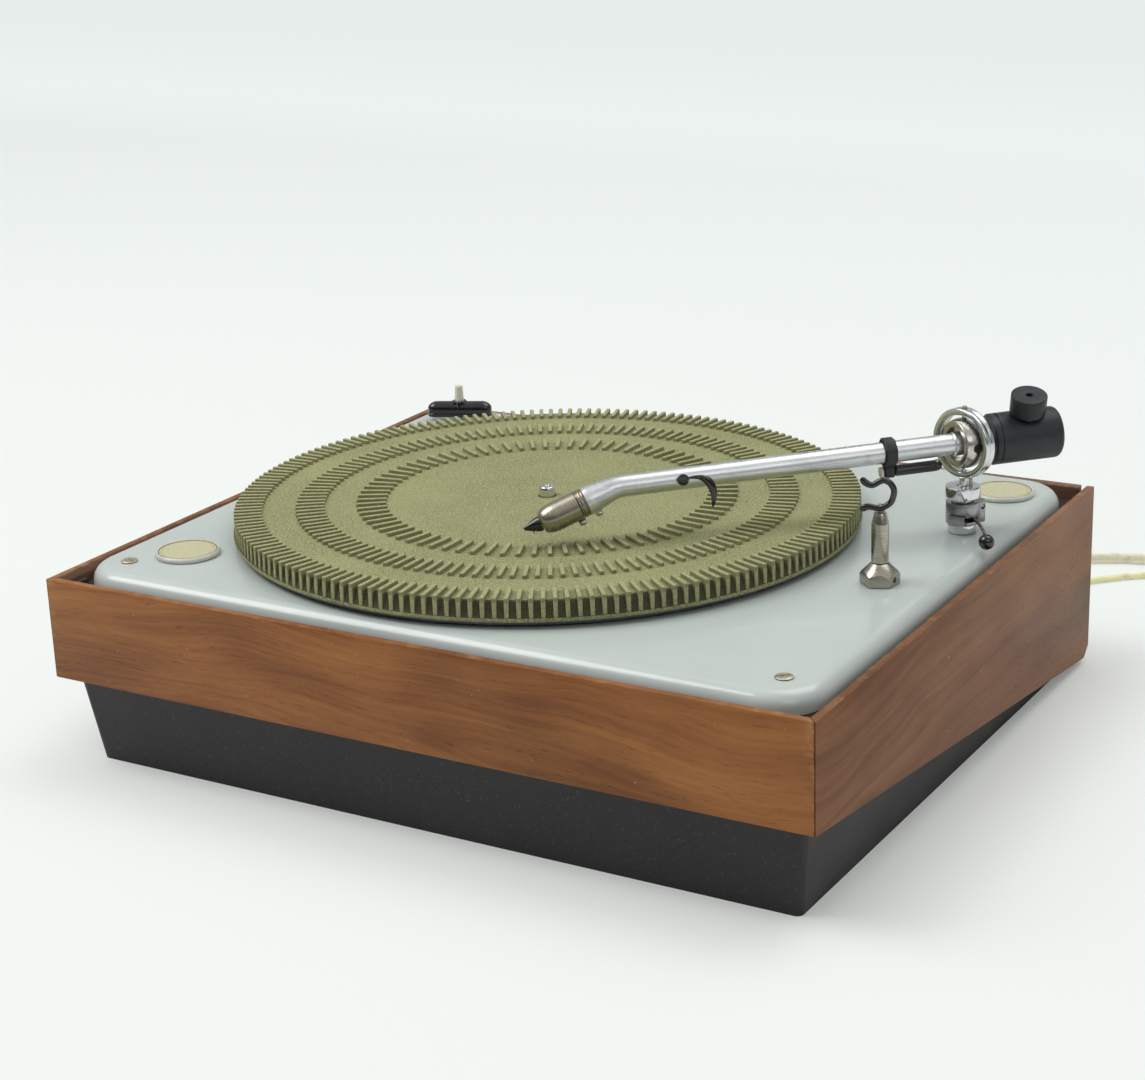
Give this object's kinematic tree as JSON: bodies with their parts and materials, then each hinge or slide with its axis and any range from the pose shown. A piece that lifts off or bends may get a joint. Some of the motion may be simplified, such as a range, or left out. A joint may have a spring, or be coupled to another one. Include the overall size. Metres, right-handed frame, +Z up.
{
  "type": "record player",
  "caption": "Turntable in a walnut plinth with an idler-driven platter, ribbed mat, gimbal tonearm, arm rest, speed selector and two trailing leads.",
  "frame": {"origin": "On the floor under the middle of the plinth, on the bottom cover's underside.", "axes": "+X runs along the front from left to right, +Y from the front to the back, +Z up."},
  "size_m": [0.5071, 0.5685, 0.1625],
  "materials": {
    "walnut": "satin oiled walnut",
    "pine": "bare plywood",
    "board": "brown pressed fibre board",
    "black_paint": "satin black paint",
    "black_gloss": "glossy black plastic",
    "enamel": "gloss light grey enamel",
    "mat_rubber": "matte olive rubber",
    "black_rubber": "matte black rubber",
    "steel": "plain steel",
    "chrome": "bright plated metal",
    "alloy": "satin aluminium",
    "brass": "dulled brass",
    "ivory": "ivory plastic",
    "cream": "aged cream sheath",
    "pale_yellow": "pale yellow sheath"
  },
  "bodies": {
    "base": {"base_carcase": "black_paint", "bottom_cover": "board", "front_board": "walnut", "left_board": "walnut", "right_board": "walnut", "back_board": "walnut", "support_frame": "pine", "packing_block": "black_rubber", "top_plate": "enamel", "left_plate_screw": "brass", "right_plate_screw": "brass", "front_badge": "ivory", "rear_badge": "ivory", "bearing_housing": "brass", "idler_lever_post": "steel", "motor_body": "steel", "motor_seat": "black_rubber", "speed_switch": "board", "arm_base": "alloy", "arm_post": "chrome", "disc_collar": "alloy", "clamp_block": "alloy", "clamp_screw": "steel", "gimbal_ring": "chrome", "top_pivot": "steel", "rest_base": "alloy", "rest_post": "chrome", "rest_hook": "black_gloss", "mains_boot": "black_rubber", "mains_lead": "cream", "mains_coil": "cream", "mains_plug": "cream", "signal_grommet": "black_rubber", "signal_lead": "pale_yellow", "signal_coil": "pale_yellow", "signal_plug": "black_gloss"},
    "platter": {"platter": "black_paint", "spindle": "chrome", "mat": "mat_rubber"},
    "idler_arm": {"idler_lever": "steel"},
    "idler": {"idler_wheel": "alloy", "idler_tyre": "black_rubber"},
    "rotor": {"motor_pulley": "brass"},
    "selector": {"selector_knob": "black_gloss"},
    "selector_pin": {"selector_pin": "ivory"},
    "lift_lever": {"lift_lever": "chrome", "lever_ball": "black_gloss"},
    "arm_yoke": {"inner_ring": "alloy"},
    "arm": {"arm_tube": "alloy", "lock_ring": "steel", "headshell": "chrome", "front_joint_screw": "steel", "rear_joint_screw": "steel", "nose": "black_gloss", "stylus": "steel", "finger_lift": "black_gloss"},
    "force_collar": {"force_collar": "black_gloss", "collar_disc": "ivory"},
    "counterweight": {"counterweight": "black_paint"},
    "weight_knob": {"weight_knob": "black_paint"}
  },
  "joints": [
    {"name": "platter_spin", "type": "hinge", "parent": "base", "child": "platter", "pos_m": [-0.0212, -0.0018, 0.1], "axis": [0, 0, 1], "continuous": true},
    {"name": "idler_swing", "type": "hinge", "parent": "base", "child": "idler_arm", "pos_m": [-0.07523, -0.06285, 0.0967], "axis": [0, 0, 1], "range_deg": [-4, 0], "stiffness_Nm_per_rad": 0.2, "springref_deg": 2.86},
    {"name": "idler_spin", "type": "hinge", "parent": "idler_arm", "child": "idler", "pos_m": [-0.11955, -0.07067, 0.099], "axis": [0, 0, 1], "continuous": true},
    {"name": "motor_spin", "type": "hinge", "parent": "base", "child": "rotor", "pos_m": [-0.0966, -0.07681, 0.09], "axis": [0, 0, 1], "continuous": true},
    {"name": "selector_turn", "type": "hinge", "parent": "base", "child": "selector", "pos_m": [-0.1575, 0.1319, 0.1], "axis": [0, 0, 1], "range_deg": [-60, 60]},
    {"name": "pin_push", "type": "slide", "parent": "selector", "child": "selector_pin", "axis": [0, 0, 1], "range_m": [-0.003, 0], "stiffness_N_per_m": 200, "springref_m": 0.001},
    {"name": "lever_turn", "type": "hinge", "parent": "base", "child": "lift_lever", "pos_m": [0.1643, 0.0629, 0.103], "axis": [0, 0, 1], "range_deg": [-35, 20]},
    {"name": "arm_swing", "type": "hinge", "parent": "base", "child": "arm_yoke", "pos_m": [0.1643, 0.0629, 0.1384], "axis": [0, 0, 1], "range_deg": [-6, 34]},
    {"name": "arm_tilt", "type": "hinge", "parent": "arm_yoke", "child": "arm", "pos_m": [0.1643, 0.0629, 0.1384], "axis": [-0.8161, 0.5779, 0], "range_deg": [-1, 12]},
    {"name": "counterweight_slide", "type": "slide", "parent": "arm", "child": "counterweight", "axis": [0.7462, 0.6648, 0.0349], "range_m": [0, 0.01]},
    {"name": "weight_knob_turn", "type": "hinge", "parent": "counterweight", "child": "weight_knob", "pos_m": [0.18639, 0.08258, 0.13943], "axis": [0.1583, -0.2281, 0.9607], "continuous": true},
    {"name": "collar_slide", "type": "slide", "parent": "arm", "child": "force_collar", "axis": [-0.7462, -0.6648, -0.0349], "range_m": [0, 0.025]}
  ],
  "couplings": [
    {"joint": "idler_spin", "follows": "platter_spin", "ratio": 7.05},
    {"joint": "motor_spin", "follows": "platter_spin", "ratio": -41.964}
  ]
}
